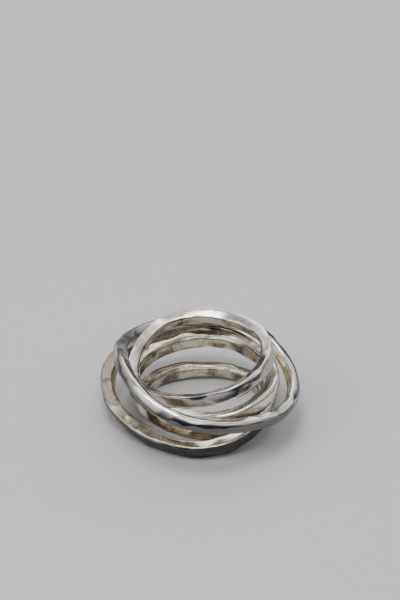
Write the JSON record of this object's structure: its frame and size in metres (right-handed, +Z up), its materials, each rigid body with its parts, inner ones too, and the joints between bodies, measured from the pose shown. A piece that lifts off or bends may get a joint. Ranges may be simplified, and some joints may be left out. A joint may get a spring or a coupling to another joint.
{
  "type": "hammered ring",
  "caption": "Finger ring made of a bundle of closed loops of heavy hammered square wire, nested and crossed, lying on its side as it rests by itself.",
  "frame": {"origin": "on the surface that the ring lies on, under the middle of the bundle's box", "axes": "+Z up along the finger hole, -Y towards the side where the slanting loop crosses over the others, +X to the right as seen from there"},
  "size_m": [0.0294, 0.0302, 0.0121],
  "materials": {
    "silver": "polished, hammered silver"
  },
  "bodies": {
    "root": {"top_loop": "silver", "middle_loop": "silver", "floor_loop": "silver", "slanting_loop": "silver", "outer_loop": "silver"}
  },
  "joints": []
}
